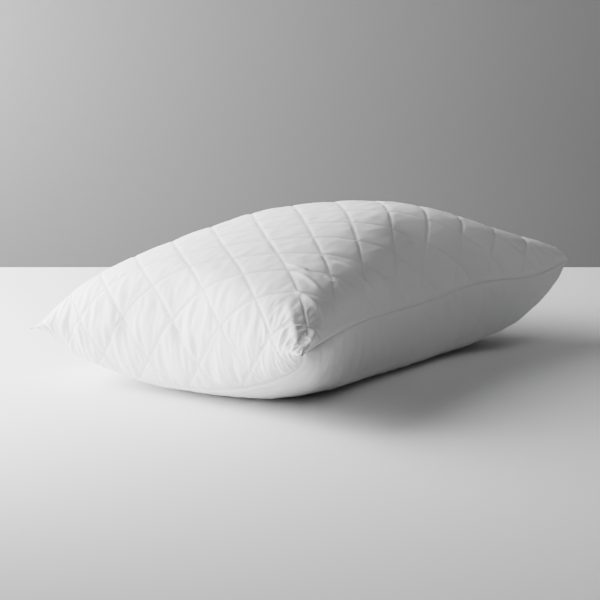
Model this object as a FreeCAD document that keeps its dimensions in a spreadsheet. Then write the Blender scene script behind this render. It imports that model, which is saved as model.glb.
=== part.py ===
import FreeCAD, Part
import math
import os

# Bed pillow: a quilted top panel and a plain underside, seamed together round a soft fibre fill.
#
# Frame, in millimetres: X runs along the length and Y across the width. Z is up, and the origin
# is at the middle of the bounding box, on the surface that the pillow lies on.
# The closing seam is on the long side at -Y, between the corners at (-X, -Y) and (+X, -Y).
#
# Every layer follows one shell formula. Its inset is how far the layer's surface lies inside the
# outer skin, so that two surfaces with two insets bound one layer of cloth or wadding.
# A point of a panel is told by u along the length and v across it, both from -1 to +1.

DIMENSIONS = (
    # alias, millimetres unless the note says otherwise, note
    ("corner_length", 676, "corner to corner along the length, filled"),
    ("corner_width", 432, "corner to corner across the width, filled"),
    ("crown_height", 198, "highest point of the crown above the resting face"),
    ("side_waist", 40, "how far the middle of each long side is pulled in"),
    ("end_waist", 42, "how far the middle of each short end is pulled in"),
    ("near_side_height", 90, "seam height at the middle of the long side at -Y"),
    ("far_side_height", 74, "seam height at the middle of the long side at +Y"),
    ("near_left_height", 90, "seam height at the corner at -X, -Y"),
    ("near_right_height", 100, "seam height at the corner at +X, -Y"),
    ("far_left_height", 70, "seam height at the corner at -X, +Y"),
    ("far_right_height", 78, "seam height at the corner at +X, +Y"),
    ("dome_power", 0.62, "fullness of the top, a power: lower is fuller towards the seam"),
    ("rest_share", 0.66, "size of the resting face as a share of the plan"),
    ("cloth_thickness", 0.9, "cotton face and underside, with their weave and puckers"),
    ("wadding_thickness", 5.5, "polyester wadding, as stitched down"),
    ("backing_thickness", 0.6, "non-woven backing of the quilting"),
    ("layer_gap", 0.3, "air between two layers"),
    ("seam_gap", 1.2, "space between the top and the underside, which the seam threads fill"),
    ("quilt_pitch", 74, "corner to corner of one quilted diamond, along either side"),
    ("flat_length", 740, "length of the cut panel, seam to seam"),
    ("flat_width", 480, "width of the cut panel, seam to seam"),
    ("thread_width", 0.9, "stitching thread, pressed flat"),
    ("thread_height", 0.5, "stitching thread, pressed flat"),
    ("seam_inset", 1.6, "seam thread, from the outer edge"),
    ("edging_inset", 6.0, "overlocked edging of the turned-in allowance, from the outer edge"),
    ("edging_width", 2.4, "width of the overlocked edging"),
    ("closing_start", -0.86, "start of the closing seam along its side, as u"),
    ("closing_length", 260, "length of the closing seam"),
    ("closing_stitch", 3.2, "one stitch of the closing seam"),
    ("closing_pitch", 4.6, "one stitch and the space after it"),
)

LONG_POLES = 25
SHORT_POLES = 19
DEPTH_POLES = 9
DEGREE = 3
ARC_STEPS = 48
STITCH_SPACING = 24.0
SHEET_NAME = "dimensions"
SEW_TOLERANCE = 0.001


def make_sheet(doc):
    """Put the driving dimensions in a spreadsheet, one row each, with an alias on each value."""
    sheet = doc.addObject("Spreadsheet::Sheet", SHEET_NAME)
    for row, (alias, value, note) in enumerate(DIMENSIONS, start=1):
        sheet.set("A%d" % row, alias)
        sheet.set("B%d" % row, str(value))
        sheet.setAlias("B%d" % row, alias)
        sheet.set("C%d" % row, note)
    doc.recompute()
    return sheet


def read_sheet(sheet):
    """Read every driving dimension back from the sheet."""
    return {alias: float(sheet.get(alias)) for alias, _, _ in DIMENSIONS}


def quarter_ellipse(share, ratio):
    """Run and rise at a share of the arc from the crown of a quarter ellipse to its rim.

    Both are from 0 to 1, and ratio is the ellipse's height over its half width.
    """
    lengths = [0.0]
    for step in range(ARC_STEPS):
        angle = (step + 0.5) / ARC_STEPS * math.pi / 2
        lengths.append(lengths[-1] + math.hypot(math.cos(angle), ratio * math.sin(angle)))
    target = share * lengths[-1]
    step = max(k for k in range(ARC_STEPS) if lengths[k] <= target)
    part = (target - lengths[step]) / (lengths[step + 1] - lengths[step])
    angle = (step + part) / ARC_STEPS * math.pi / 2
    return math.sin(angle), max(math.cos(angle), 0.0)


def seam_height(dims, u, v):
    """Height of the seam, spread over the whole panel as a surface between its four sides."""
    near = (1 - u) / 2 * dims["near_left_height"] + (1 + u) / 2 * dims["near_right_height"]
    far = (1 - u) / 2 * dims["far_left_height"] + (1 + u) / 2 * dims["far_right_height"]
    corners = (1 - v) / 2 * near + (1 + v) / 2 * far
    away = max(u * u, v * v)
    share = (u * v) ** 2 / away if away else 0.0
    middle = (1 - v) / 2 * dims["near_side_height"] + (1 + v) / 2 * dims["far_side_height"]
    return share * corners + (1 - share) * middle


def half_sizes(dims, u, v, inset):
    """Half length and half width of the plan at a point of the panel, with its waists."""
    half_length = dims["corner_length"] / 2 - inset - dims["end_waist"] * (1 - v * v)
    half_width = dims["corner_width"] / 2 - inset - dims["side_waist"] * (1 - u * u)
    return half_length, half_width


def plan_point(dims, u, v, inset):
    """Plan place and dome height, from 0 at the seam to 1 at the crown, of a panel's point."""
    half_length, half_width = half_sizes(dims, u, v, inset)
    rise = dims["crown_height"] - dims["far_side_height"]
    run_x, rise_x = quarter_ellipse(abs(u), rise / half_length)
    run_y, rise_y = quarter_ellipse(abs(v), rise / half_width)
    share_x = v * v * u + (1 - v * v) * math.copysign(run_x, u)
    share_y = u * u * v + (1 - u * u) * math.copysign(run_y, v)
    dome = (rise_x * rise_y) ** dims["dome_power"]
    return half_length * share_x, half_width * share_y, dome


def top_point(dims, u, v, inset, lift):
    """A point of the top panel's surface at this inset, lifted at the seam."""
    x, y, dome = plan_point(dims, u, v, inset)
    seam = seam_height(dims, u, v) + lift
    return FreeCAD.Vector(x, y, seam * (1 - dome) + (dims["crown_height"] - inset) * dome)


def bottom_point(dims, u, v, depth, inset, lift):
    """A point of the underside between the seam, depth 0, and the resting face, depth 1.

    u and v are those of the seam's point that it starts from.
    """
    seam_x, seam_y, _ = plan_point(dims, u, v, inset)
    angle = depth * math.pi / 2
    inwards = 1 - math.cos(angle)
    length = math.hypot(u, v)
    rest_x = dims["rest_share"] * dims["corner_length"] / 2 * u / length
    rest_y = dims["rest_share"] * dims["corner_width"] / 2 * v / length
    x = seam_x + (rest_x - seam_x) * inwards
    y = seam_y + (rest_y - seam_y) * inwards
    seam = seam_height(dims, u, v) + lift
    return FreeCAD.Vector(x, y, inset + (seam - inset) * (1 - math.sin(angle)))


def knots(count):
    """Knot values and multiplicities of a clamped, evenly spaced spline with this many poles."""
    spans = count - DEGREE
    values = [step / spans for step in range(spans + 1)]
    return values, [DEGREE + 1] + [1] * (spans - 1) + [DEGREE + 1]


def pole_places(count):
    """The parameter from 0 to 1 that each pole of such a spline stands for."""
    values, repeats = knots(count)
    flat = [value for value, repeat in zip(values, repeats) for _ in range(repeat)]
    return [sum(flat[pole + 1:pole + 1 + DEGREE]) / DEGREE for pole in range(count)]


def spline_surface(point_at, u_count, v_count):
    """A surface through the poles that point_at gives for parameters from 0 to 1."""
    poles = [[point_at(s, t) for t in pole_places(v_count)] for s in pole_places(u_count)]
    u_knots, u_repeats = knots(u_count)
    v_knots, v_repeats = knots(v_count)
    surface = Part.BSplineSurface()
    surface.buildFromPolesMultsKnots(
        poles, u_repeats, v_repeats, u_knots, v_knots, False, False, DEGREE, DEGREE)
    return surface


def top_surface(dims, inset, lift):
    """The whole top panel's surface at this inset."""
    def point_at(s, t):
        return top_point(dims, 2 * s - 1, 2 * t - 1, inset, lift)
    return spline_surface(point_at, LONG_POLES, SHORT_POLES)


def side_places():
    """How each side's share from 0 to 1 becomes u and v, with the number of poles along it."""
    return (
        (lambda s: (2 * s - 1, -1.0), LONG_POLES),
        (lambda s: (1.0, 2 * s - 1), SHORT_POLES),
        (lambda s: (2 * s - 1, 1.0), LONG_POLES),
        (lambda s: (-1.0, 2 * s - 1), SHORT_POLES),
    )


def bottom_faces(dims, inset, lift):
    """The underside's four curved faces at this inset, and the flat face that they end in."""
    faces = []
    for place, count in side_places():
        def point_at(s, t, place=place):
            return bottom_point(dims, *place(s), t, inset, lift)
        faces.append(spline_surface(point_at, count, DEPTH_POLES).toShape())
    rims = [lowest_edge(face) for face in faces]
    faces.append(Part.Face(Part.Wire(Part.__sortEdges__(rims))))
    return faces


def lowest_edge(face):
    """The edge of a face whose middle lies lowest."""
    return min(face.Edges, key=lambda edge: edge.CenterOfMass.z)


def seam_edges(dims, inset, lift):
    """The four edges of the seam line at this inset, in the order of side_places."""
    edges = []
    for place, count in side_places():
        values, repeats = knots(count)
        poles = [top_point(dims, *place(s), inset, lift) for s in pole_places(count)]
        curve = Part.BSplineCurve()
        curve.buildFromPolesMultsKnots(poles, repeats, values, False, DEGREE)
        edges.append(curve.toShape())
    return edges


def seam_strip(dims, first, second):
    """The faces between two seam lines, each given as (inset, lift)."""
    pairs = zip(seam_edges(dims, *first), seam_edges(dims, *second))
    return [Part.makeRuledSurface(outer, inner) for outer, inner in pairs]


def closed_solid(faces):
    """Sew faces into one closed solid that faces outwards."""
    shape = Part.Compound(faces)
    shape.sewShape(SEW_TOLERANCE)
    solid = Part.makeSolid(shape.Shells[0])
    solid.fix(SEW_TOLERANCE, SEW_TOLERANCE, SEW_TOLERANCE)
    if solid.Volume < 0:
        solid.reverse()
    return solid


def add_feature(doc, name, shape):
    """Add a free-form sub-part under its own label."""
    feature = doc.addObject("Part::Feature", name)
    feature.Label = name
    feature.Shape = shape
    feature.Placement = FreeCAD.Placement()
    return feature


def top_layer(dims, outer, inner):
    """One layer of the quilted top, between two insets."""
    lift = dims["seam_gap"] / 2
    faces = [top_surface(dims, inset, lift).toShape() for inset in (outer, inner)]
    return closed_solid(faces + seam_strip(dims, (outer, lift), (inner, lift)))


def add_quilt_layers(doc, dims):
    """The quilted top's cotton face, wadding and backing, from the outside in."""
    layers = (
        ("quilt_face", dims["cloth_thickness"]),
        ("quilt_wadding", dims["wadding_thickness"]),
        ("quilt_backing", dims["backing_thickness"]),
    )
    inset = 0.0
    made = []
    for name, thickness in layers:
        made.append(add_feature(doc, name, top_layer(dims, inset, inset + thickness)))
        inset += thickness + dims["layer_gap"]
    return made


def add_underside(doc, dims):
    """The plain cotton underside, with the flat face that the pillow rests on."""
    lift = -dims["seam_gap"] / 2
    thickness = dims["cloth_thickness"]
    faces = bottom_faces(dims, 0.0, lift) + bottom_faces(dims, thickness, lift)
    faces += seam_strip(dims, (0.0, lift), (thickness, lift))
    return add_feature(doc, "underside_panel", closed_solid(faces))


def fill_inset(dims):
    """How far inside the outer skin the fill begins."""
    layers = dims["cloth_thickness"] + dims["wadding_thickness"] + dims["backing_thickness"]
    return layers + 3 * dims["layer_gap"]


def add_fill(doc, dims):
    """The loose fibre fill, which takes the whole inside of the pillow."""
    inset = fill_inset(dims)
    faces = [top_surface(dims, inset, 0.0).toShape()] + bottom_faces(dims, inset, 0.0)
    return add_feature(doc, "fibre_fill", closed_solid(faces))


def seam_ring(dims, inset, width, height):
    """A closed ring that follows the seam between the top and the underside."""
    corners = (
        (inset, -height / 2),
        (inset, height / 2),
        (inset + width, height / 2),
        (inset + width, -height / 2),
    )
    faces = []
    for first, second in zip(corners, corners[1:] + corners[:1]):
        faces += seam_strip(dims, first, second)
    return closed_solid(faces)


def add_seam_rings(doc, dims):
    """The thread that closes all four sides, and the overlocked edging inside it."""
    height = dims["thread_height"]
    seam = seam_ring(dims, dims["seam_inset"], dims["thread_width"], height)
    edging = seam_ring(dims, dims["edging_inset"], dims["edging_width"], height)
    return [add_feature(doc, "side_seam_thread", seam), add_feature(doc, "overlock_edging", edging)]


def stitch_line(dims, surface, start, end, height):
    """One quilting thread, a flat strip laid on the surface between two points of the panel."""
    flat = math.hypot((end[0] - start[0]) * dims["flat_length"] / 2,
                      (end[1] - start[1]) * dims["flat_width"] / 2)
    count = max(5, int(flat / STITCH_SPACING) + 1)
    rails = [[], [], [], []]
    for step in range(count):
        share = step / (count - 1)
        u = start[0] + (end[0] - start[0]) * share
        v = start[1] + (end[1] - start[1]) * share
        place = ((u + 1) / 2, (v + 1) / 2)
        along_u, along_v = surface.tangent(*place)
        normal = surface.normal(*place)
        normal = normal if normal.z > 0 else -normal
        heading = along_u * (end[0] - start[0]) + along_v * (end[1] - start[1])
        across = heading.cross(normal).normalize() * (dims["thread_width"] / 2)
        base = surface.value(*place) + normal * height
        top = base + normal * dims["thread_height"]
        for rail, point in zip(rails, (base - across, base + across, top + across, top - across)):
            rail.append(point)
    return strip_solid(rails)


def strip_solid(rails):
    """A closed strip between four rails of points that run along its edges."""
    edges = []
    for rail in rails:
        curve = Part.BSplineCurve()
        curve.interpolate(rail)
        edges.append(curve.toShape())
    faces = [Part.makeRuledSurface(a, b) for a, b in zip(edges, edges[1:] + edges[:1])]
    for end in (0, -1):
        corners = [rail[end] for rail in rails]
        faces.append(Part.Face(Part.makePolygon(corners + corners[:1])))
    return closed_solid(faces)


def line_ends(dims, offset, slope):
    """Where the quilting line q = slope * p + offset enters and leaves the panel, as (u, v)."""
    margin = 0.985
    half_length = dims["flat_length"] / 2 * margin
    half_width = dims["flat_width"] / 2 * margin
    reach = sorted(((-half_width - offset) * slope, (half_width - offset) * slope))
    low = max(reach[0], -half_length)
    high = min(reach[1], half_length)
    if high - low < dims["quilt_pitch"] / 2:
        return None
    ends = []
    for p in (low, high):
        q = slope * p + offset
        ends.append((p / (dims["flat_length"] / 2), q / (dims["flat_width"] / 2)))
    return ends


def add_quilt_stitches(doc, dims):
    """The two sets of slanting stitch lines that hold the quilting, each one node."""
    surface = top_surface(dims, 0.0, dims["seam_gap"] / 2)
    pitch = dims["quilt_pitch"]
    reach = int((dims["flat_length"] + dims["flat_width"]) / 2 / pitch)
    gap = dims["layer_gap"]
    sets = (
        ("quilt_stitches_rising", 1, gap),
        ("quilt_stitches_falling", -1, 2 * gap + dims["thread_height"]),
    )
    made = []
    for name, slope, height in sets:
        solids = []
        for step in range(-reach, reach + 1):
            ends = line_ends(dims, step * pitch, slope)
            if ends:
                solids.append(stitch_line(dims, surface, ends[0], ends[1], height))
        made.append(add_feature(doc, name, Part.Compound(solids)))
    return made


def add_closing_seam(doc, dims):
    """The stitches that close the opening for the fill, each a short bar along the seam."""
    half_height = dims["thread_height"] / 2
    count = int(dims["closing_length"] / dims["closing_pitch"])
    step = dims["closing_pitch"] / (dims["corner_length"] / 2)
    stitches = []
    for index in range(count):
        u = dims["closing_start"] + index * step
        start = top_point(dims, u, -1.0, 2 * half_height, 0.0)
        ahead = top_point(dims, u + step, -1.0, 2 * half_height, 0.0)
        bar = doc.addObject("Part::Cylinder", "closing_stitch_%d" % index)
        bar.setExpression("Radius", SHEET_NAME + ".thread_height / 2")
        bar.setExpression("Height", SHEET_NAME + ".closing_stitch")
        turn = FreeCAD.Rotation(FreeCAD.Vector(0, 0, 1), ahead - start)
        bar.Placement = FreeCAD.Placement(start, turn)
        stitches.append(bar)
    seam = doc.addObject("Part::Compound", "closing_seam_thread")
    seam.Label = "closing_seam_thread"
    seam.Links = stitches
    return seam


def check_document(doc, nodes):
    """Stop if anything in the document failed, before a file is written."""
    for item in doc.Objects:
        if "Invalid" in item.State or "Error" in item.State:
            raise RuntimeError("%s did not build: %s" % (item.Label, item.State))
    for node in nodes:
        if node.Shape.isNull() or not node.Shape.isValid():
            raise RuntimeError("%s has no valid shape" % node.Label)
        for solid in node.Shape.Solids:
            if not solid.isClosed() or solid.Volume <= 0:
                raise RuntimeError("%s has a solid that is not closed" % node.Label)


def export_nodes(nodes):
    """Write one STEP file for each sub-part, and print its size."""
    os.makedirs("parts", exist_ok=True)
    for node in nodes:
        node.Shape.exportStep("parts/%s.step" % node.Label)
        box = node.Shape.BoundBox
        print("%-24s %3d solids, x %7.1f %7.1f  y %7.1f %7.1f  z %6.1f %6.1f  %9.0f mm3" % (
            node.Label, len(node.Shape.Solids), box.XMin, box.XMax, box.YMin, box.YMax,
            box.ZMin, box.ZMax, node.Shape.Volume))


def main():
    doc = FreeCAD.newDocument("bed_pillow")
    dims = read_sheet(make_sheet(doc))
    nodes = add_quilt_layers(doc, dims)
    nodes += add_quilt_stitches(doc, dims)
    nodes.append(add_underside(doc, dims))
    nodes += add_seam_rings(doc, dims)
    nodes.append(add_closing_seam(doc, dims))
    nodes.append(add_fill(doc, dims))
    doc.recompute()
    check_document(doc, nodes)
    export_nodes(nodes)


main()
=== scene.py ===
import math

import bpy
import numpy as np
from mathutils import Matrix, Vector


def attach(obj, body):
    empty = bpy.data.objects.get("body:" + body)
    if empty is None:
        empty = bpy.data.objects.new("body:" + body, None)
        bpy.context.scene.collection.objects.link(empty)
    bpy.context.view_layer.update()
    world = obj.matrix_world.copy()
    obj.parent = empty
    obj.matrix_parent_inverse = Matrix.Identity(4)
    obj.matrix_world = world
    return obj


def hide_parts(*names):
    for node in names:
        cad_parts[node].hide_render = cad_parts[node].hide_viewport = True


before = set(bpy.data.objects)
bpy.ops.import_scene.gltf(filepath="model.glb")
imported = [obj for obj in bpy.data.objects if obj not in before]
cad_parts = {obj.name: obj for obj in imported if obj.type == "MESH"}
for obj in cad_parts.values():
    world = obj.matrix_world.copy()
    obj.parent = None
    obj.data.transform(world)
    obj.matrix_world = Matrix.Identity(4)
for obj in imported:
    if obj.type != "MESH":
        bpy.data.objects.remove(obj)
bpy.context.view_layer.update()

# Bed pillow, in metres, in the CAD frame: X along the length, Y across the width, Z up.
#
# The two panels are grids in the plane of the cloth. A cloth simulation fills them as a pillow and
# lays it on the floor, and then a solver of this script's own puckers the cloth between its stitch
# lines. "p" is the place along the cloth's length and "q" across its width, both 0 at its middle,
# and "u" and "v" are the same places from -1 to 1.

# The cloth, as it is once the quilting has drawn it in.
CUTS = 8                        # fine cells from a quilt crossing to the middle of the next diamond
FINE_LONG = 147                 # fine cells along the panel, a whole number of coarse ones
FINE_WIDE = 96
COARSE = 3                      # fine cells to a coarse one
CELL = 0.68 / FINE_LONG
LONG = CELL * FINE_LONG
WIDE = CELL * FINE_WIDE
HALF_DIAMOND = CUTS * CELL
QUILT_PITCH = 2 * HALF_DIAMOND
CROSSING_P = -LONG / 2 + 2 * CELL    # a crossing of two quilting lines, from which all others follow
CROSSING_Q = 13 * CELL


def smooth_step(x):
    """0 below 0, 1 above 1, and a smooth rise between them."""
    x = np.clip(x, 0, 1)
    return x * x * (3 - 2 * x)


def panel_places(cells_long, cells_wide):
    """The (p, q) of every point of a panel's grid, as an array of rows along its length."""
    p = np.linspace(-LONG / 2, LONG / 2, cells_long + 1)
    q = np.linspace(-WIDE / 2, WIDE / 2, cells_wide + 1)
    return np.stack(np.meshgrid(p, q, indexing="ij"), axis=-1)


class Bag:
    """Two panels of one grid, top and bottom, that share the points of their edge."""

    def __init__(self, cells_long, cells_wide):
        self.shape = (cells_long + 1, cells_wide + 1)
        rows, columns = np.indices(self.shape)
        edge = (rows == 0) | (rows == cells_long) | (columns == 0) | (columns == cells_wide)
        self.top = np.arange(rows.size).reshape(self.shape)
        self.bottom = self.top.copy()
        self.bottom[~edge] = rows.size + np.arange((~edge).sum())
        self.count = int(self.bottom.max()) + 1
        self.edge = edge

    def points(self, top, bottom):
        """One array of points from the two panels' grids."""
        points = np.zeros((self.count, top.shape[-1]))
        points[self.bottom] = bottom
        points[self.top] = top
        return points

    def faces(self):
        """The quads of both panels, facing outwards."""
        quads = []
        for grid, outwards in ((self.top, True), (self.bottom, False)):
            corners = [grid[:-1, :-1], grid[1:, :-1], grid[1:, 1:], grid[:-1, 1:]]
            quad = np.stack(corners if outwards else corners[::-1], axis=-1)
            quads.append(quad.reshape(-1, 4))
        return np.concatenate(quads)


def mesh_object(name, points, faces):
    """A new mesh object from arrays of points and faces."""
    mesh = bpy.data.meshes.new(name)
    mesh.from_pydata(points.tolist(), [], faces.tolist())
    mesh.update()
    piece = bpy.data.objects.new(name, mesh)
    bpy.context.scene.collection.objects.link(piece)
    return piece


def read_points(piece):
    """The points of a piece with its modifiers, as an array."""
    shown = piece.evaluated_get(bpy.context.evaluated_depsgraph_get())
    points = np.empty(len(shown.data.vertices) * 3, np.float32)
    shown.data.vertices.foreach_get("co", points)
    return points.reshape(-1, 3).astype(float)


def run_cloth(name, start, rest, faces, frames, cloth_settings):
    """Simulate one cloth over the floor, with rest lengths from another shape; return its points."""
    piece = mesh_object(name, start, faces)
    piece.shape_key_add(name="Basis")
    key = piece.shape_key_add(name="rest")
    key.data.foreach_set("co", rest.astype(np.float32).ravel())
    key.value = 0
    cloth = piece.modifiers.new("cloth", "CLOTH")
    settings = cloth.settings
    settings.rest_shape_key = key
    for attribute, value in cloth_settings.items():
        if attribute == "gravity":
            settings.effector_weights.gravity = value
        else:
            setattr(settings, attribute, value)
    cloth.collision_settings.use_self_collision = False
    cloth.collision_settings.distance_min = FLOOR_GAP
    cloth.point_cache.frame_start = 1
    cloth.point_cache.frame_end = frames
    reach = LONG * 2
    corners = np.array([(-reach, -reach, 0), (reach, -reach, 0), (reach, reach, 0), (-reach, reach, 0)])
    ground = mesh_object("sim_floor", corners, np.array([[0, 1, 2, 3]]))
    ground.modifiers.new("collision", "COLLISION")
    ground.collision.thickness_outer = FLOOR_THICKNESS
    ground.collision.cloth_friction = FLOOR_FRICTION
    scene = bpy.context.scene
    for step in range(1, frames + 1):
        scene.frame_set(step)
    points = read_points(piece)
    for helper in (piece, ground):
        mesh = helper.data
        bpy.data.objects.remove(helper)
        bpy.data.meshes.remove(mesh)
    scene.frame_set(1)
    return points


FLOOR_GAP = 0.003               # the nearest that the simulated cloth comes to the floor
FLOOR_THICKNESS = 0.002
FLOOR_FRICTION = 20
FILL_CLOTH = {
    "quality": 10, "mass": 0.3, "tension_stiffness": 160, "compression_stiffness": 32,
    "shear_stiffness": 8, "bending_stiffness": 0.3, "tension_damping": 5,
    "compression_damping": 5, "shear_damping": 5, "bending_damping": 0.5, "air_damping": 3,
    "use_pressure": True, "uniform_pressure_force": 3, "gravity": 0.045,
}
FILL_FRAMES = 80
FLAT_DOME = 0.075               # how far either panel bulges before the filling
FLAT_FULLNESS = 0.55            # a power: lower is fuller towards the seam
END_WAIST, SIDE_WAIST = 0.05, 0.06
DROP = 0.08                     # the seam's height above the floor before the filling
HALF_LOFT = 0.002               # half the gap between the panels at their rest lengths


def fill_pillow():
    """Fill the two flat panels as a pillow lying on the floor, and return both coarse grids."""
    cells_long, cells_wide = FINE_LONG // COARSE, FINE_WIDE // COARSE
    bag = Bag(cells_long, cells_wide)
    places = panel_places(cells_long, cells_wide)
    u = places[..., 0] / (LONG / 2)
    v = places[..., 1] / (WIDE / 2)
    height = FLAT_DOME * np.maximum((1 - u ** 2) * (1 - v ** 2), 0) ** FLAT_FULLNESS
    x = places[..., 0] * (1 - END_WAIST * (1 - v ** 2) * u ** 2)
    y = places[..., 1] * (1 - SIDE_WAIST * (1 - u ** 2) * v ** 2)
    start = bag.points(np.stack([x, y, DROP + height], -1), np.stack([x, y, DROP - height], -1))
    thin = np.where(bag.edge, 0.0, HALF_LOFT)
    rest = bag.points(np.dstack([places, DROP + thin]), np.dstack([places, DROP - thin]))
    points = run_cloth("fill_sim", start, rest, bag.faces(), FILL_FRAMES, FILL_CLOTH)
    points[:, :2] -= (points[:, :2].max(0) + points[:, :2].min(0)) / 2
    points[:, 2] -= points[:, 2].min()
    return points[bag.top], points[bag.bottom]


# How this pillow has settled: the panel and the (u, v) on it where the effect is centred, how far
# it reaches, and how far it moves the cloth along X, Y and Z.
SETTLED = (
    ("top", -1, -1, 0.065, (0.005, -0.001, 0.006)),      # near corner, by the closing seam
    ("top", -1, 1, 0.065, (0.020, -0.020, -0.006)),      # left corner, tucked in and low
    ("top", 1, -1, 0.075, (-0.005, 0.007, 0.027)),       # right corner, lifted
    ("top", 0.1, -1, 0.13, (0.010, -0.003, 0.024)),      # closing seam's side, rolled upwards
    ("top", -1, -0.2, 0.10, (0.005, 0.007, 0.001)),      # end at -X
    ("top", -0.45, 0.1, 0.13, (-0.005, 0.013, 0.002)),   # slope up from that end
    ("top", 0.5, 0, 0.14, (0.006, -0.008, 0.016)),       # fill pushed towards the right end
    ("top", 0, 0, 0.13, (0.001, 0.005, 0.006)),          # crown
    ("top", -0.7, -0.8, 0.09, (0.007, 0, 0.013)),        # ridge above the near corner
    ("top", 0.75, -0.7, 0.09, (0.004, -0.005, 0.016)),   # body towards the right corner
    ("top", 1, -0.75, 0.045, (0.004, -0.004, 0.016)),
    ("top", -0.9, 0.85, 0.035, (0, 0, 0.004)),           # left corner's fullness
    ("top", 1, -1, 0.022, (-0.009, 0.007, -0.001)),      # right tip, drawn in
    ("top", -1, 1, 0.016, (0.001, -0.001, -0.004)),      # left tip
    ("top", 0.6, -1, 0.04, (0, 0, 0.003)),               # seam of the near side, by the right corner
    ("top", 0.2, -1, 0.07, (0, 0, -0.002)),
    ("top", 0.60, -0.36, 0.045, (0, 0, -0.006)),         # slope down from the crown to that corner
    ("top", 0.75, -0.56, 0.040, (0, 0, -0.007)),
    ("top", 0.88, -0.72, 0.028, (0, 0, -0.009)),
    ("top", 0.97, -0.94, 0.016, (0, 0, 0.004)),          # blunt tips
    ("top", -0.97, 0.94, 0.018, (0, 0, 0.005)),
    ("top", 1, -1, 0.008, (-0.003, 0.003, -0.001)),
    ("bottom", -0.75, -0.7, 0.08, (-0.018, -0.018, 0.005)),   # body corner below the near corner
    ("bottom", 0.05, -0.85, 0.09, (0.030, 0.026, -0.012)),    # near side, undercut
    ("bottom", 0.72, -0.75, 0.09, (-0.016, -0.004, -0.018)),
    ("bottom", -0.85, 0, 0.09, (0, 0, 0.012)),                # end at -X, off the floor
    ("bottom", 0.4, -0.9, 0.08, (0.008, 0.012, 0.014)),
    ("bottom", -0.35, -0.9, 0.07, (0.020, 0.018, 0.004)),
    ("bottom", 0.8, -0.85, 0.05, (0.004, -0.004, -0.006)),
    ("bottom", -0.85, -0.80, 0.035, (-0.008, -0.010, 0)),
    ("bottom", -0.60, -0.88, 0.040, (0.007, 0.009, 0)),
)
FLOOR_EASE = 0.05               # the height below which these moves lift the cloth less


def settle(top, bottom):
    """Move the filled shape as its owner left it, without lifting what lies on the floor."""
    rows, columns = top.shape[0] - 1, top.shape[1] - 1
    panels = {"top": top, "bottom": bottom}
    moved = {}
    for name, grid in panels.items():
        ease = smooth_step(grid[..., 2] / FLOOR_EASE)
        change = np.zeros_like(grid)
        for panel, u, v, reach, shift in SETTLED:
            centre = panels[panel][round((u + 1) / 2 * rows), round((v + 1) / 2 * columns)]
            near = np.exp(-((grid - centre) ** 2).sum(-1, keepdims=True) / (2 * reach ** 2))
            change += near * np.array(shift)
        change[..., 2] *= ease
        moved[name] = grid + change
    return moved["top"], moved["bottom"]


def sample(grid, row, column):
    """Points of a grid at fractional rows and columns, on smooth curves through its own points."""
    padded = grid
    for axis in (0, 1):
        padded = np.moveaxis(padded, axis, 0)
        first, last = 2 * padded[:1] - padded[1:2], 2 * padded[-1:] - padded[-2:-1]
        padded = np.moveaxis(np.concatenate([first, padded, last]), 0, axis)
    weights = []
    starts = []
    for place, count in ((row, grid.shape[0]), (column, grid.shape[1])):
        start = np.clip(np.floor(place).astype(int), 0, count - 2)
        t = (place - start)[..., None]
        weights.append((
            -0.5 * t + t ** 2 - 0.5 * t ** 3, 1 - 2.5 * t ** 2 + 1.5 * t ** 3,
            0.5 * t + 2 * t ** 2 - 1.5 * t ** 3, -0.5 * t ** 2 + 0.5 * t ** 3,
        ))
        starts.append(start)
    total = 0
    for i, along in enumerate(weights[0]):
        for j, across in enumerate(weights[1]):
            total = total + along * across * padded[starts[0] + i, starts[1] + j]
    return total


def grid_normals(points):
    """Unit normals of a grid of points, to its left when seen from row to row with columns rising."""
    along = np.gradient(points, axis=0)
    across = np.gradient(points, axis=1)
    normals = np.cross(along, across)
    return normals / np.maximum(np.linalg.norm(normals, axis=-1, keepdims=True), 1e-12)


def smooth_noise(shape, reach, seed):
    """Noise over a grid with a spread of 1, smoothed over a reach in grid cells along and across."""
    noise = np.random.default_rng(seed).standard_normal(shape)
    for axis in (0, 1):
        size = shape[axis]
        wave = np.fft.rfftfreq(size)
        blur = np.exp(-2 * (math.pi * wave * reach[axis]) ** 2)
        turned = np.moveaxis(noise, axis, -1)
        noise = np.moveaxis(np.fft.irfft(np.fft.rfft(turned) * blur, size), -1, axis)
    return noise / noise.std()


def quilt_distances(p, q):
    """How far a place on the cloth is from the nearest line of each of the two stitch directions."""
    along, aside = p - CROSSING_P, q - CROSSING_Q
    return [
        np.abs((across + QUILT_PITCH / 2) % QUILT_PITCH - QUILT_PITCH / 2) / math.sqrt(2)
        for across in (along - aside, along + aside)
    ]


def seam_roll(v):
    """How far the seam has rolled under the end at -X, for a place v across it."""
    deeper = 1 + ROLL_DEEPENS * smooth_step((v + 1) / ROLL_DEEPENS_OVER)
    return ROLL_DEPTH * deeper * np.sqrt(np.maximum(1 - np.abs(v) ** 5, 0))


def link_slices(rows, columns, shape, phase, step):
    """The starts and ends of every link of one direction whose first row or column has this phase."""
    tall, wide = shape[:2]
    if rows:
        left, right = max(0, -columns), max(0, columns)
        start = slice(phase, tall - rows, step), slice(left, wide - right)
        return start, (slice(phase + rows, tall, step), slice(right, wide - left))
    start = slice(None), slice(phase, wide - columns, step)
    return start, (slice(None), slice(phase + columns, wide, step))


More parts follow.
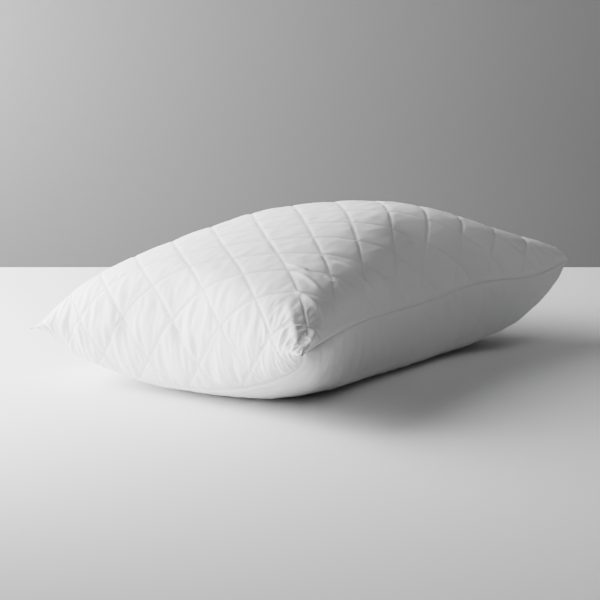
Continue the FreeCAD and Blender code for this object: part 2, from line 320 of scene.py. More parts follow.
def pucker(base, target, spread_long, spread_wide, hold, rounds):
    """Lay a sheet with more cloth than its base has onto a springy bed: it buckles where it is slack.

    hold is how strongly each point keeps to its target, and 1 where it is sewn down.
    """
    free = np.where(hold >= 1, 0.0, 1.0)[..., None].astype(np.float32)
    hold = hold[..., None].astype(np.float32)
    wanted = target.astype(np.float32)
    points = wanted.copy()
    links = []
    for rows, columns, share in CLOTH_LINKS:
        stretch = (spread_long * abs(rows) + spread_wide * abs(columns)) / (abs(rows) + abs(columns))
        step = 2 * max(rows, abs(columns)) if not (rows and columns) else 2
        for phase in range(step):
            first, second = link_slices(rows, columns, base.shape, phase, step)
            length = np.linalg.norm(base[second] - base[first], axis=-1) * (1 + stretch[first])
            links.append((first, second, length[..., None].astype(np.float32), share))
    for _ in range(rounds):
        for first, second, length, share in links:
            start, end = points[first], points[second]
            gap = end - start
            distance = np.sqrt((gap * gap).sum(-1, keepdims=True)) + 1e-9
            change = gap * (share * (1 - length / distance) / (free[first] + free[second] + 1e-6))
            start += free[first] * change
            end -= free[second] * change
        points += hold * (wanted - points)
    return points.astype(float)


# The links between a sheet's points: rows and columns from one end to the other, and their strength.
CLOTH_LINKS = (
    (1, 0, 1.0), (0, 1, 1.0), (1, 1, 0.3), (1, -1, 0.3), (2, 0, 0.10), (0, 2, 0.10),
)

TOP_SMOOTHINGS, BOTTOM_SMOOTHINGS, SEAM_SMOOTHINGS = 6, 3, 8
SPLIT = 3                       # parts of a fine cell in the finished sheets
ROLL_DEPTH = 0.045              # how far the end seam has rolled under, by the near corner
ROLL_DEEPENS = 0.42             # how much further it has, as a share, past the near corner
ROLL_DEEPENS_OVER = 0.9         # over this much of v
ROLL_ROWS = 30                  # rows of the quilted sheet on that part
NEXT_ROWS = 6                   # coarse rows of the underside that the quilted sheet runs on to
PUFF = 0.0005                   # how far a diamond's middle stands up
PUFF_RISE = 1.2                 # how much more it does at the end at +X, as a share
PUFF_EDGE = 0.010
GROOVE = 0.0010                 # the dip along a quilting line
GROOVE_WIDTH = 0.0015
SEAM_DEPTH = 0.0026             # the dip along the seam
SEAM_WIDTH = 0.0022
SEAM_EDGE = 0.01                # the quilting fades out this near the seam


coarse_top, coarse_bottom = settle(*fill_pillow())
for grid, passes in ((coarse_top, TOP_SMOOTHINGS), (coarse_bottom, BOTTOM_SMOOTHINGS)):
    for _ in range(passes):
        inside = grid[1:-1, 1:-1]
        around = grid[2:, 1:-1] + grid[:-2, 1:-1] + grid[1:-1, 2:] + grid[1:-1, :-2]
        inside += 0.5 * (around / 4 - inside)
for side in (0, -1):
    for _ in range(SEAM_SMOOTHINGS):
        seam = coarse_top[:, side]
        seam[1:-1] += 0.5 * ((seam[2:] + seam[:-2]) / 2 - seam[1:-1])
    coarse_bottom[:, side] = coarse_top[:, side]

# The two sheets as sewn: the quilted one runs on under the end at -X as far as the rolled seam.
rows, columns = FINE_LONG * SPLIT, FINE_WIDE * SPLIT
q_line = np.linspace(-WIDE / 2, WIDE / 2, columns + 1)
rolled = seam_roll(q_line / (WIDE / 2))
p_line = np.linspace(-LONG / 2, LONG / 2, rows + 1)
under = np.linspace(1, 0, ROLL_ROWS + 1)[:-1, None] * rolled
quilt_p = np.concatenate([-LONG / 2 - under, np.repeat(p_line[:, None], columns + 1, axis=1)])
plain_p = -LONG / 2 + rolled + np.linspace(0, 1, rows + 1)[:, None] * (LONG - rolled)
quilt_q = np.repeat(q_line[None], len(quilt_p), axis=0)
plain_q = np.repeat(q_line[None], len(plain_p), axis=0)

coarse_cell = CELL * COARSE
run_on = np.concatenate([coarse_bottom[NEXT_ROWS:0:-1], coarse_top])
quilt_row, quilt_column = (quilt_p + LONG / 2) / coarse_cell, (quilt_q + WIDE / 2) / coarse_cell
plain_row, plain_column = (plain_p + LONG / 2) / coarse_cell, (plain_q + WIDE / 2) / coarse_cell
quilt_base = sample(run_on, NEXT_ROWS + quilt_row, quilt_column)
plain_base = sample(coarse_bottom, plain_row, plain_column)
quilt_normals = grid_normals(quilt_base)
plain_normals = -grid_normals(plain_base)
# The sheets share four edges: the rolled seam, the far end and the two long sides.
EDGES = (
    ((0, slice(None)), (0, slice(None))),
    ((-1, slice(None)), (-1, slice(None))),
    ((slice(ROLL_ROWS, None), 0), (slice(None), 0)),
    ((slice(ROLL_ROWS, None), -1), (slice(None), -1)),
)


def share_edges(quilt, plain):
    """Give both sheets the same values along the edges where they are sewn together."""
    for of_quilt, of_plain in EDGES:
        middle = (quilt[of_quilt] + plain[of_plain]) / 2
        quilt[of_quilt] = middle
        plain[of_plain] = middle
    for side in (0, -1):
        quilt[:ROLL_ROWS, side] = quilt[ROLL_ROWS, side]


share_edges(quilt_normals, plain_normals)
share_edges(quilt_base, plain_base)


def seam_distance(p, q, end):
    """How far a place is from the panel's sewn edges, in the plane of the cloth."""
    return np.minimum(np.minimum(WIDE / 2 - np.abs(q), LONG / 2 - p), p - end)


def around_corner(p, q, corner, reach):
    """A bump of 1 at a corner of the panel, given as the signs of its p and q."""
    away = (p - corner[0] * LONG / 2) ** 2 + (q - corner[1] * WIDE / 2) ** 2
    return np.exp(-away / (2 * reach ** 2))


def fold_height(p, q, start, end, width, height):
    """A long soft ridge in the cloth from one place on the panel to another."""
    along = np.array(end) - np.array(start)
    length = np.linalg.norm(along)
    along = along / length
    from_start = (p - start[0]) * along[0] + (q - start[1]) * along[1]
    aside = (q - start[1]) * along[0] - (p - start[0]) * along[1]
    share = np.clip(from_start / length, 0, 1)
    past = from_start - share * length
    return height * np.sin(math.pi * (0.12 + 0.76 * share)) * np.exp(-(aside ** 2 + past ** 2) / width ** 2)


# The larger folds of the quilted face: where each starts and ends as (p, q), its width and its
# height. First those by the near corner, then those by the right corner and along the near seam.
FOLDS = (
    ((-0.206, -0.118), (-0.206, -0.142), 0.0036, 0.0034),
    ((-0.221, -0.136), (-0.227, -0.172), 0.0040, 0.0044),
    ((-0.258, -0.162), (-0.258, -0.198), 0.0042, 0.0044),
    ((-0.195, -0.166), (-0.186, -0.188), 0.0040, 0.0036),
    ((-0.318, -0.217), (-0.288, -0.210), 0.0040, 0.0075),
    ((-0.290, -0.168), (-0.328, -0.206), 0.0060, 0.0028),
    ((0.262, -0.165), (0.296, -0.214), 0.0050, 0.0036),
    ((0.292, -0.120), (0.322, -0.185), 0.0060, 0.0036),
    ((0.236, -0.190), (0.250, -0.217), 0.0040, 0.0024),
    ((0.315, -0.165), (0.330, -0.212), 0.0040, 0.0026),
    ((-0.100, -0.180), (-0.088, -0.216), 0.0040, 0.0026),
    ((-0.060, -0.188), (-0.046, -0.218), 0.0036, 0.0022),
    ((-0.150, -0.150), (-0.128, -0.196), 0.0050, 0.0026),
)

rising, falling = quilt_distances(quilt_p, quilt_q)
near_line = np.minimum(rising, falling)
quilt_seam = seam_distance(quilt_p, quilt_q, -LONG / 2 - rolled)
plain_seam = seam_distance(plain_p, plain_q, -LONG / 2 + rolled)
quilt_lift = (1 + PUFF_RISE * smooth_step(quilt_p / LONG + 0.5)) * PUFF
quilt_lift *= (1 - np.exp(-rising / PUFF_EDGE)) * (1 - np.exp(-falling / PUFF_EDGE))
quilt_lift -= GROOVE * np.exp(-(near_line / GROOVE_WIDTH) ** 2)
quilt_lift *= smooth_step(quilt_seam / SEAM_EDGE)
quilt_lift -= SEAM_DEPTH * np.exp(-(quilt_seam / SEAM_WIDTH) ** 2)
for start, end, width, height in FOLDS:
    quilt_lift += fold_height(quilt_p, quilt_q, start, end, width, height)
plain_lift = -SEAM_DEPTH * np.exp(-(plain_seam / SEAM_WIDTH) ** 2)
quilt_target = quilt_base + quilt_lift[..., None] * quilt_normals
plain_target = plain_base + plain_lift[..., None] * plain_normals
share_edges(quilt_target, plain_target)

# Where the quilted sheet has spare cloth, as a share of its length and width, and what holds it.
NEAR, LEFT, RIGHT = (-1, -1), (-1, 1), (1, -1)
near_corner = around_corner(quilt_p, quilt_q, NEAR, 0.045)
left_corner = around_corner(quilt_p, quilt_q, LEFT, 0.06)
right_corner = around_corner(quilt_p, quilt_q, RIGHT, 0.06)
near_end = smooth_step(1 - (quilt_p + LONG / 2) / 0.10)
quilt_slack_wide = 0.0005 + 0.026 * near_end + 0.06 * left_corner + 0.10 * near_corner
quilt_slack_long = 0.0005 + 0.07 * near_corner + 0.03 * right_corner
ON_THE_SEAM = 1e-6
sewn = (near_line < 0.3 * CELL / SPLIT) | (quilt_seam < ON_THE_SEAM)
quilt_hold = np.where(sewn, 1.0, 0.02 - 0.01 * near_corner)
QUILT_WAVES, QUILT_WAVE_CELLS, QUILT_SEED, QUILT_ROUNDS = 0.0005, (5, 2), 3, 120
waves = (0.4 + 0.6 * near_end) * smooth_noise(quilt_p.shape, QUILT_WAVE_CELLS, QUILT_SEED) * QUILT_WAVES
waves *= smooth_step(near_line / 0.006) * smooth_step(quilt_seam / SEAM_EDGE)
quilt_points = pucker(
    quilt_base, quilt_target + waves[..., None] * quilt_normals, quilt_slack_long, quilt_slack_wide,
    quilt_hold, QUILT_ROUNDS,
)

# The same for the plain sheet, which is slack only near its seam.
near_seam = smooth_step(1 - plain_seam / 0.06)
plain_hold = np.where(plain_seam < ON_THE_SEAM, 1.0, 0.03 + 0.05 * (1 - near_seam))
PLAIN_WAVES, PLAIN_WAVE_CELLS, PLAIN_SEED, PLAIN_ROUNDS = 0.0004, (3, 4), 4, 60
waves = smooth_noise(plain_p.shape, PLAIN_WAVE_CELLS, PLAIN_SEED) * PLAIN_WAVES
waves *= smooth_step(plain_seam / SEAM_EDGE)
plain_points = pucker(
    plain_base, plain_target + waves[..., None] * plain_normals,
    0.003 + 0.035 * near_seam, 0.002 + 0.01 * near_seam, plain_hold, PLAIN_ROUNDS,
)
for points in (quilt_points, plain_points):
    points[..., 2] = np.maximum(points[..., 2], 0)


def welded_index(shape, start, rolled_rows):
    """Point numbers of a grid whose first rows run to one point at either side."""
    index = start + np.arange(shape[0] * shape[1]).reshape(shape)
    for side in (0, -1):
        index[:rolled_rows, side] = index[rolled_rows, side]
    return index


def grid_faces(index, outwards=True):
    """The quads, and triangles where points coincide, of a grid of point numbers."""
    corners = [index[:-1, :-1], index[1:, :-1], index[1:, 1:], index[:-1, 1:]]
    quads = np.stack(corners if outwards else corners[::-1], axis=-1).reshape(-1, 4)
    return [face for face in map(lambda quad: list(dict.fromkeys(quad)), quads.tolist()) if len(face) > 2]


def edge_walk(index):
    """The point numbers round the outside of a grid, back to the first one."""
    return np.concatenate([index[0], index[1:, -1], index[-1, -2::-1], index[-2::-1, 0]]).tolist()


def rim_faces(outer, inner, step, outwards):
    """Faces that close a sheet between its outer grid's edge and its inner, step times coarser, one."""
    faces = []
    outer_walk, inner_walk = edge_walk(outer), edge_walk(inner)
    for k in range(len(inner_walk) - 1):
        outer_part = outer_walk[k * step:(k + 1) * step + 1]
        face = list(dict.fromkeys(outer_part + inner_walk[k:k + 2][::-1]))
        if len(set(outer_part)) > 1:
            faces.append(face if outwards else face[::-1])
    return faces


def finished(name, points, faces, places, node, slot, material):
    """A piece from its points, faces, places on the cloth, node, slot and material; the slot is not used.
    """
    used = np.unique(np.concatenate([np.ravel(face) for face in faces]))
    number = np.full(len(points), -1)
    number[used] = np.arange(len(used))
    points, places = points[used], places[used]
    mesh = bpy.data.meshes.new(name)
    mesh.from_pydata(points.tolist(), [], [number[face].tolist() for face in faces])
    attribute = mesh.attributes.new("cloth", "FLOAT_VECTOR", "POINT")
    attribute.data.foreach_set("vector", places.astype(np.float32).ravel())
    mesh.shade_smooth()
    mesh.materials.append(material)
    piece = bpy.data.objects.new(name, mesh)
    bpy.context.scene.collection.objects.link(piece)
    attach(piece, "root")
    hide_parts(node)
    return piece


def cloth_places(p, q):
    """What the "cloth" attribute holds on a sheet: p and q, and 0."""
    return np.stack([p, q, np.zeros_like(p)], axis=-1)


def sheet_piece(name, outer, inner, p, q, step, outwards, node, slot, material, rolled_rows=0):
    """A closed sheet between an outer grid and an inner one, of which every step-th point is used."""
    outer_index = welded_index(outer.shape[:2], 0, rolled_rows)
    fewer = inner[::step, ::step]
    inner_index = welded_index(fewer.shape[:2], outer_index.size, rolled_rows // step)
    faces = grid_faces(outer_index, outwards) + grid_faces(inner_index, not outwards)
    faces += rim_faces(outer_index, inner_index, step, outwards)
    points = np.concatenate([outer.reshape(-1, 3), fewer.reshape(-1, 3)])
    places = cloth_places(p, q)
    places = np.concatenate([places.reshape(-1, 3), places[::step, ::step].reshape(-1, 3)])
    return finished(name, points, faces, places, node, slot, material)


SEAM_SHARE = 0.15               # how thick a layer still is at the seam, as a share
SEAM_TAPER = 0.035              # how far from the seam it thins


def sunk(points, normals, seam, depth):
    """A sheet's points moved under its face: less and less towards its seams."""
    away = depth * (SEAM_SHARE + (1 - SEAM_SHARE) * smooth_step(seam / SEAM_TAPER))
    return points - away[..., None] * normals


# --- materials
WAVE_UNIT = math.pi / 20        # the wave texture's scale for one thread a metre, two to a band


def material_nodes(name, roughness, sheen):
    """A material, its node tree and shader, and the place on the cloth as a socket."""
    material = bpy.data.materials.new(name)
    material.use_nodes = True
    tree = material.node_tree
    shader = tree.nodes["Principled BSDF"]
    shader.inputs["Roughness"].default_value = roughness
    shader.inputs["Sheen Weight"].default_value = sheen
    shader.inputs["Specular IOR Level"].default_value = 0.25
    place = tree.nodes.new("ShaderNodeAttribute")
    place.attribute_name = "cloth"
    return material, tree, shader, place.outputs["Vector"]


def noise_node(tree, vector, scale, detail=2.0, stretch=None):
    """Noise over a place, stretched along some of its axes."""
    if stretch is not None:
        mapping = tree.nodes.new("ShaderNodeMapping")
        mapping.inputs["Scale"].default_value = stretch
        tree.links.new(vector, mapping.inputs["Vector"])
        vector = mapping.outputs["Vector"]
    noise = tree.nodes.new("ShaderNodeTexNoise")
    noise.inputs["Scale"].default_value = scale
    noise.inputs["Detail"].default_value = detail
    tree.links.new(vector, noise.inputs["Vector"])
    return noise.outputs["Fac"]


def wave_node(tree, vector, threads, direction):
    """Bands across one direction, so many threads to a metre."""
    wave = tree.nodes.new("ShaderNodeTexWave")
    wave.wave_type = "BANDS"
    wave.bands_direction = direction
    wave.inputs["Scale"].default_value = threads * WAVE_UNIT
    wave.inputs["Distortion"].default_value = 0.4
    wave.inputs["Detail"].default_value = 1
    tree.links.new(vector, wave.inputs["Vector"])
    return wave.outputs["Fac"]


def blend_node(tree, kind, first, second):
    """A sum or product of two sockets, or of a socket and a number."""
    node = tree.nodes.new("ShaderNodeMath")
    node.operation = kind
    for socket, value in zip(node.inputs, (first, second)):
        if isinstance(value, (int, float)):
            socket.default_value = value
        else:
            tree.links.new(value, socket)
    return node.outputs["Value"]


def grey_ramp(tree, fac, low, high, shader):
    """The shader's colour, from a low grey to a high one with a value."""
    ramp = tree.nodes.new("ShaderNodeValToRGB")
    ramp.color_ramp.elements[0].position = 0.3
    ramp.color_ramp.elements[1].position = 0.7
    ramp.color_ramp.elements[0].color = (low, low, low, 1)
    ramp.color_ramp.elements[1].color = (high, high, high, 1)
    tree.links.new(fac, ramp.inputs["Fac"])
    tree.links.new(ramp.outputs["Color"], shader.inputs["Base Color"])


def bump(tree, height, distance, strength, shader):
    """The shader's fine relief, from a value."""
    node = tree.nodes.new("ShaderNodeBump")
    node.inputs["Strength"].default_value = strength
    node.inputs["Distance"].default_value = distance
    tree.links.new(height, node.inputs["Height"])
    tree.links.new(node.outputs["Normal"], shader.inputs["Normal"])


def cotton(name, grey, threads, slub):
    """Plain-woven white cotton: two sets of threads, with thicker places along them."""
    material, tree, shader, place = material_nodes(name, 0.82, 0.12)
    warp = wave_node(tree, place, threads, "X")
    weft = wave_node(tree, place, threads, "Y")
    weave = blend_node(tree, "MULTIPLY", warp, weft)
    along = noise_node(tree, place, 160, 2, (1, 9, 1))
    across = noise_node(tree, place, 160, 2, (9, 1, 1))
    slubs = blend_node(tree, "ADD", along, across)
    patches = noise_node(tree, place, 14, 3)
    some_slubs = blend_node(tree, "MULTIPLY", slubs, 0.35)
    some_patches = blend_node(tree, "MULTIPLY", patches, 0.3)
    grey_ramp(tree, blend_node(tree, "ADD", some_slubs, some_patches), grey * 0.965, grey, shader)
    weave_height = blend_node(tree, "MULTIPLY", weave, 0.5)
    slub_height = blend_node(tree, "MULTIPLY", slubs, slub)
    bump(tree, blend_node(tree, "ADD", weave_height, slub_height), 0.00012, 0.5, shader)
    return material


def fluff(name, grey, scale):
    """Loose polyester fibres, for the wadding and the fill."""
    material, tree, shader, place = material_nodes(name, 0.95, 0.4)
    fibres = noise_node(tree, place, scale, 6, (1, 3, 1))
    grey_ramp(tree, fibres, grey * 0.85, grey, shader)
    bump(tree, fibres, 0.001, 0.7, shader)
    return material


def thread(name, grey):
    """Twisted sewing thread: "cloth" holds the place along a stitch in x and round it in y."""
    material, tree, shader, place = material_nodes(name, 0.6, 0.1)
    mapping = tree.nodes.new("ShaderNodeMapping")
    mapping.inputs["Rotation"].default_value = (0, 0, math.radians(35))
    tree.links.new(place, mapping.inputs["Vector"])
    twist = wave_node(tree, mapping.outputs["Vector"], 1800, "X")
    grey_ramp(tree, twist, grey * 0.8, grey, shader)
    bump(tree, twist, 0.0001, 0.6, shader)
    return material


# --- the sheets, the layers between them and the fill
STEP = 3                        # finished cells to a cell of the sheets' insides and the inner layers
CLOTH_DEPTH = 0.0005
WADDING_DEPTHS = (0.0008, 0.0040)
BACKING_DEPTHS = (0.0044, 0.0050)
FILL_DEPTHS = (0.0060, 0.0015)  # under the quilted sheet and over the plain one
FACE_COTTON = cotton("face_cotton", 0.86, 2600, 0.6)
PLAIN_COTTON = cotton("plain_cotton", 0.85, 2200, 0.7)
BACKING = cotton("backing_cloth", 0.75, 1500, 0.9)
THREAD = thread("sewing_thread", 0.84)


def under_quilt(depth):
    """The quilted sheet's points, moved under its face."""
    return sunk(quilt_points, quilt_normals, quilt_seam, depth)


def over_plain(depth):
    """The plain sheet's points, moved inside the pillow."""
    return sunk(plain_points, plain_normals, plain_seam, depth)


quilt_face = sheet_piece(
    "quilt_face_cotton", quilt_points, under_quilt(CLOTH_DEPTH), quilt_p, quilt_q,
    STEP, True, "quilt_face", "face_cotton", FACE_COTTON, ROLL_ROWS,
)
underside = sheet_piece(
    "underside_cotton", plain_points, over_plain(CLOTH_DEPTH), plain_p, plain_q,
    STEP, False, "underside_panel", "plain_cotton", PLAIN_COTTON,
)


def inner_layer(name, depths, node, slot, material):
    """A layer of the quilting between two depths under the quilted face."""
    upper, lower = (under_quilt(depth)[::STEP, ::STEP] for depth in depths)
    return sheet_piece(
        name, upper, lower, quilt_p[::STEP, ::STEP], quilt_q[::STEP, ::STEP],
        1, True, node, slot, material, ROLL_ROWS // STEP,
    )


WADDING = fluff("wadding", 0.9, 300)
wadding = inner_layer("quilt_wadding_layer", WADDING_DEPTHS, "quilt_wadding", "wadding", WADDING)
backing = inner_layer("quilt_backing_cloth", BACKING_DEPTHS, "quilt_backing", "backing_cloth", BACKING)

# The fill, just inside both sheets.
fill_top = under_quilt(FILL_DEPTHS[0])[::STEP, ::STEP]
fill_bottom = over_plain(FILL_DEPTHS[1])[::STEP, ::STEP]
top_index = welded_index(fill_top.shape[:2], 0, ROLL_ROWS // STEP)
bottom_index = top_index.size + np.arange(fill_bottom[..., 0].size).reshape(fill_bottom.shape[:2])
bottom_index[0] = top_index[0]
bottom_index[-1] = top_index[-1]
for side in (0, -1):
    bottom_index[:, side] = top_index[ROLL_ROWS // STEP:, side]
fill = finished(
    "fibre_fill_body", np.concatenate([fill_top.reshape(-1, 3), fill_bottom.reshape(-1, 3)]),
    grid_faces(top_index) + grid_faces(bottom_index, False),
    np.concatenate([
        cloth_places(quilt_p, quilt_q)[::STEP, ::STEP].reshape(-1, 3),
        cloth_places(plain_p, plain_q)[::STEP, ::STEP].reshape(-1, 3),
    ]), "fibre_fill", "fibre_fill", fluff("fibre_fill", 0.92, 120),
)


# --- stitches
THREAD_SIDES = 6
# One stitch's rings: how far along it, how fat, and how high, as a share of its dip.
STITCH_RINGS = ((0, 0.35, -1), (0.15, 0.85, 0), (0.5, 1, 0.35), (0.85, 0.85, 0), (1, 0.35, -1))
QUILT_THREAD, QUILT_DIP = 0.00035, 0.0004
STITCH_PITCH, STITCH_LENGTH = 0.0034, 0.0026
STITCH_RAISE = 0.00015
STITCH_EDGE = 0.006             # how near the seam the quilting's stitches come
QUILT_LINES = range(-14, 15)    # enough lines on either side of the first to cross the whole face


def stitch_arrays(starts, ends, normals, radius, dip):
    """Points, faces and places of one short thread for each start and end, its ends in the cloth."""
    along = ends - starts
    length = np.linalg.norm(along, axis=-1, keepdims=True)
    along = along / np.maximum(length, 1e-9)
    side = np.cross(normals, along)
    side /= np.maximum(np.linalg.norm(side, axis=-1, keepdims=True), 1e-9)
    up = np.cross(along, side)
    rings, places = [], []
    turn = np.arange(THREAD_SIDES) * 2 * math.pi / THREAD_SIDES
    round_it = np.cos(turn)[None, :, None] * side[:, None] + np.sin(turn)[None, :, None] * up[:, None]
    for share, fat, high in STITCH_RINGS:
        middle = starts + along * length * share + up * high * dip
        ring = middle[:, None] + radius * fat * round_it
        rings.append(ring)
        ring_places = np.zeros(ring.shape)
        ring_places[..., 0] = share * length
        ring_places[..., 1] = turn * radius
        places.append(ring_places)
    points = np.stack(rings, axis=1)
    places = np.stack(places, axis=1)
    size = len(rings) * THREAD_SIDES
    template = []
    for low in range(0, size - THREAD_SIDES, THREAD_SIDES):
        high = low + THREAD_SIDES
        for k in range(THREAD_SIDES):
            after = (k + 1) % THREAD_SIDES
            template.append([low + k, low + after, high + after, high + k])
    template += [list(range(THREAD_SIDES))[::-1], list(range(size - THREAD_SIDES, size))]
    faces = [[first + k for k in face] for first in range(0, size * len(starts), size) for face in template]
    return points.reshape(-1, 3), faces, places.reshape(-1, 3)


def on_quilt(grid, p, q):
    """Values of a quilted sheet's grid at places on the cloth, the rolled part included."""
    v = q / (WIDE / 2)
    roll = np.maximum(seam_roll(v), 1e-6)
    past = (-LONG / 2 - p) / roll
    row = np.where(past > 0, ROLL_ROWS * (1 - past), ROLL_ROWS + (p + LONG / 2) * SPLIT / CELL)
    return sample(grid, np.clip(row, 0, len(grid) - 1), (q + WIDE / 2) * SPLIT / CELL)


def quilt_stitches(name, sign, node):
    """The stitches of every quilting line of one direction."""
    starts, ends, normals = [], [], []
    half = STITCH_LENGTH / 2 / math.sqrt(2)
    q = np.arange(-WIDE / 2 + STITCH_EDGE, WIDE / 2 - STITCH_EDGE, STITCH_PITCH / math.sqrt(2))
    first_p = -LONG / 2 - seam_roll(q / (WIDE / 2)) + STITCH_EDGE
    for line in QUILT_LINES:
        p = CROSSING_P + sign * (q - CROSSING_Q) + line * QUILT_PITCH
        inside = (p < LONG / 2 - STITCH_EDGE) & (p > first_p)
        if not inside.any():
            continue
        at_p, at_q = p[inside], q[inside]
        normal = on_quilt(quilt_normals, at_p, at_q)
        normals.append(normal)
        starts.append(on_quilt(quilt_points, at_p - sign * half, at_q - half) + STITCH_RAISE * normal)
        ends.append(on_quilt(quilt_points, at_p + sign * half, at_q + half) + STITCH_RAISE * normal)
    arrays = stitch_arrays(*map(np.concatenate, (starts, ends, normals)), QUILT_THREAD, QUILT_DIP)
    finished(name, *arrays, node, "sewing_thread", THREAD)


quilt_stitches("quilt_stitches_rising_thread", 1, "quilt_stitches_rising")
quilt_stitches("quilt_stitches_falling_thread", -1, "quilt_stitches_falling")


def seam_loop(grid):
    """The quilted sheet's values all round its sewn edge, from the near corner and back to it."""
    return np.concatenate([grid[0, :-1], grid[ROLL_ROWS:-1, -1], grid[-1, :0:-1], grid[:ROLL_ROWS:-1, 0]])


def away_from_corners(places, reach):
    """Which places are further than a reach from the four corners of the seam."""
    corners = quilt_points[[ROLL_ROWS, ROLL_ROWS, -1, -1], [0, -1, 0, -1]]
    return np.linalg.norm(places[:, None] - corners[None], axis=-1).min(1) > reach


def evenly(path, values, pitch):
    """Places a pitch apart along a closed path, and other values there."""
    closed = np.concatenate([path, path[:1]])
    steps = np.linalg.norm(np.diff(closed, axis=0), axis=1)
    travelled = np.concatenate([[0], np.cumsum(steps)])
    count = int(travelled[-1] / pitch)
    at = np.arange(count) * travelled[-1] / count
    results = []
    for array in (path, *values):
        looped = np.concatenate([array, array[:1]])
        results.append(np.stack([np.interp(at, travelled, looped[:, k]) for k in range(3)], axis=1))
    return results


seam_path, seam_normals = seam_loop(quilt_points), seam_loop(quilt_normals)
SEAM_PITCH, SEAM_THREAD, SEAM_DIP = 0.003, 0.0003, 0.0003
SEAM_SUNK = 0.0008              # how deep the seam's stitches lie in its dip
SEAM_CORNERS = 0.012            # no stitches this near a corner, where the cloth is folded in
places, outward = evenly(seam_path, [seam_normals], SEAM_PITCH)
onward = np.roll(places, -1, axis=0) - places
kept = away_from_corners(places, SEAM_CORNERS)
outward, onward = outward[kept], onward[kept]
places = places[kept] - SEAM_SUNK * outward
stitch = stitch_arrays(places + 0.1 * onward, places + 0.9 * onward, outward, SEAM_THREAD, SEAM_DIP)
finished("side_seam_thread_stitches", *stitch, "side_seam_thread", "sewing_thread", THREAD)

# The overlocked seam allowance, turned to the inside: a narrow band with thread looped over it.
BAND_PITCH = 0.004
BAND_IN, BAND_OUT, BAND_THICKNESS = 0.0020, 0.0065, 0.0006
BAND_CORNERS, BAND_CORNER_SHARE, BAND_SMOOTHINGS = 0.05, 0.35, 6    # it is narrower by the corners
LOOP_THREAD, LOOP_DIP, LOOP_RAISE = 0.0003, 0.0001, 1.3
places, outward = evenly(seam_path, [seam_normals], BAND_PITCH)
corner_share = np.where(away_from_corners(places, BAND_CORNERS), 1.0, BAND_CORNER_SHARE)[:, None]
for _ in range(BAND_SMOOTHINGS):
    corner_share = (np.roll(corner_share, 1) + corner_share + np.roll(corner_share, -1)) / 3
upper = places - BAND_IN * corner_share * outward
lower = places - BAND_OUT * corner_share * outward
onward = np.roll(places, -1, axis=0) - np.roll(places, 1, axis=0)
across = np.cross(outward, onward)
across /= np.maximum(np.linalg.norm(across, axis=1, keepdims=True), 1e-9)
thick = BAND_THICKNESS / 2 * across
band_points = np.stack([upper - thick, upper + thick, lower + thick, lower - thick], axis=1).reshape(-1, 3)
band_faces = []
for first in range(0, len(band_points), 4):
    after = (first + 4) % len(band_points)
    for side, beside in ((0, 1), (1, 2), (2, 3), (3, 0)):
        band_faces.append([first + side, first + beside, after + beside, after + side])
loop_ends = np.roll(lower + LOOP_RAISE * thick, -1, axis=0)
loops, loop_faces, loop_places = stitch_arrays(
    upper + LOOP_RAISE * thick, loop_ends, across, LOOP_THREAD, LOOP_DIP,
)
finished(
    "overlock_edging_band", np.concatenate([band_points, loops]),
    band_faces + [[k + len(band_points) for k in face] for face in loop_faces],
    np.concatenate([band_points, loop_places]), "overlock_edging", "sewing_thread", THREAD,
)

# The closing seam by the near corner, sewn through both edges once the fill is in.
CLOSING_START, CLOSING_LENGTH, CLOSING_PITCH = 0.14, 0.26, 0.0046
CLOSING_INSET, CLOSING_STITCH, CLOSING_RAISE = 0.0024, 0.0032, 0.00005
CLOSING_THREAD, CLOSING_DIP = 0.0003, 0.0004
closing_p = -LONG / 2 + CLOSING_START * LONG / 2 + np.arange(0, CLOSING_LENGTH, CLOSING_PITCH)
closing_q = np.full_like(closing_p, -WIDE / 2 + CLOSING_INSET)
closing_normals = on_quilt(quilt_normals, closing_p, closing_q)
closing_ends = [
    on_quilt(quilt_points, closing_p + half, closing_q) + CLOSING_RAISE * closing_normals
    for half in (-CLOSING_STITCH / 2, CLOSING_STITCH / 2)
]
closing_arrays = stitch_arrays(*closing_ends, closing_normals, CLOSING_THREAD, CLOSING_DIP)
finished("closing_seam_thread_stitches", *closing_arrays, "closing_seam_thread", "sewing_thread", THREAD)

# --- camera
YAW, PITCH = 0.6226, 0.1809     # which way it looks, in radians: round from +X, and down
LENS, SENSOR = 107.682, 36      # millimetres
HEIGHT = 0.4958
ASIDE, AWAY = 0.015, 2.2719     # where the origin lies from it over the floor: to its right, and ahead
camera_data = bpy.data.cameras.new("camera")
camera = bpy.data.objects.new("camera", camera_data)
bpy.context.scene.collection.objects.link(camera)
camera_data.sensor_width = SENSOR
camera_data.lens = LENS
camera.location = (
    -ASIDE * math.sin(YAW) - AWAY * math.cos(YAW), ASIDE * math.cos(YAW) - AWAY * math.sin(YAW), HEIGHT,
)
look = Vector((math.cos(YAW) * math.cos(PITCH), math.sin(YAW) * math.cos(PITCH), -math.sin(PITCH)))
camera.rotation_mode = "QUATERNION"
camera.rotation_quaternion = look.to_track_quat("-Z", "Y")
bpy.context.scene.camera = camera


def plain_material(name, grey, roughness=0.9):
    """A plain matt surface that is seen only from its front."""
    material = bpy.data.materials.new(name)
    material.use_nodes = True
    nodes, links = material.node_tree.nodes, material.node_tree.links
    shader = nodes["Principled BSDF"]
    shader.inputs["Base Color"].default_value = (grey, grey, grey, 1)
    shader.inputs["Roughness"].default_value = roughness
    geometry, clear = nodes.new("ShaderNodeNewGeometry"), nodes.new("ShaderNodeBsdfTransparent")
    either = nodes.new("ShaderNodeMixShader")
    links.new(geometry.outputs["Backfacing"], either.inputs[0])
    links.new(shader.outputs[0], either.inputs[1])
    links.new(clear.outputs[0], either.inputs[2])
    links.new(either.outputs[0], nodes["Material Output"].inputs["Surface"])
    return material


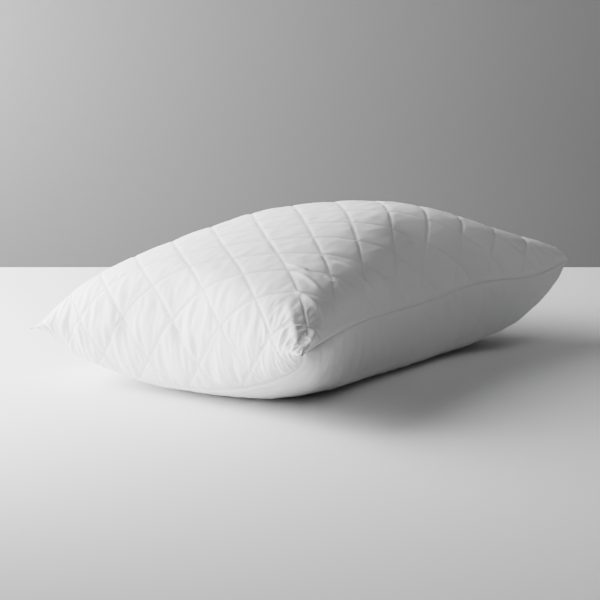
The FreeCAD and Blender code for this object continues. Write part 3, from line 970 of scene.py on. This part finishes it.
def stage_plane(name, corners, grey):
    """One surface of the stage, from its corners anticlockwise as its front shows them."""
    places = np.array([seen_from_camera(*corner) for corner in corners])
    piece = mesh_object(name, places, np.array([[0, 1, 2, 3]]))
    piece.data.materials.append(plain_material(name, grey))


def seen_from_camera(aside, ahead, height=0.0):
    """A place so far to the right of the camera's line, ahead of the camera, and above the floor."""
    return (
        camera.location.x + ahead * math.cos(YAW) + aside * math.sin(YAW),
        camera.location.y + ahead * math.sin(YAW) - aside * math.cos(YAW), height,
    )


# The stage, in metres aside from the camera's line, ahead of the camera and above the floor.
FLOOR_SIDE, FLOOR_FRONT, FLOOR_BACK, FLOOR_GREY = 3, 0.3, 3.02, 0.80
WALL_SIDE, WALL_AHEAD, WALL_FOOT, WALL_TOP, WALL_GREY = 4, FLOOR_BACK + 0.9, -1, 3, 0.11
stage_plane("floor", [
    (-FLOOR_SIDE, FLOOR_FRONT), (FLOOR_SIDE, FLOOR_FRONT),
    (FLOOR_SIDE, FLOOR_BACK), (-FLOOR_SIDE, FLOOR_BACK),
], FLOOR_GREY)
stage_plane("backdrop", [
    (-WALL_SIDE, WALL_AHEAD, WALL_FOOT), (WALL_SIDE, WALL_AHEAD, WALL_FOOT),
    (WALL_SIDE, WALL_AHEAD, WALL_TOP), (-WALL_SIDE, WALL_AHEAD, WALL_TOP),
], WALL_GREY)


def soft_light(name, place, target, size, power):
    """A rectangular light, across and down in metres, aimed from its place at the target."""
    data = bpy.data.lights.new(name, "AREA")
    data.shape = "RECTANGLE"
    data.size, data.size_y = size
    data.energy = power
    lamp = bpy.data.objects.new(name, data)
    lamp.location = place
    lamp.rotation_mode = "QUATERNION"
    lamp.rotation_quaternion = (Vector(target) - Vector(place)).to_track_quat("-Z", "Y")
    bpy.context.scene.collection.objects.link(lamp)


# Each light's name, its place and its target as aside, ahead and height, its size and its power.
LIGHTS = (
    ("window", (-1.0, 2.55, 0.38), (0.2, 2.9, 0.1), (1.7, 1.1), 124),
    ("wall", (-1.15, 3.5, 0.5), (-0.7, 3.92, 0.5), (0.5, 0.6), 34),
    ("sky", (0.8, 2.2, 1.5), (0.1, 2.3, 0.1), (0.8, 0.8), 3),
)
for name, place, target, size, power in LIGHTS:
    soft_light(name, seen_from_camera(*place), seen_from_camera(*target), size, power)
WORLD_STRENGTH = 0.08
world = bpy.data.worlds.new("world")
world.use_nodes = True
world.node_tree.nodes["Background"].inputs["Color"].default_value = (1, 1, 1, 1)
world.node_tree.nodes["Background"].inputs["Strength"].default_value = WORLD_STRENGTH
bpy.context.scene.world = world
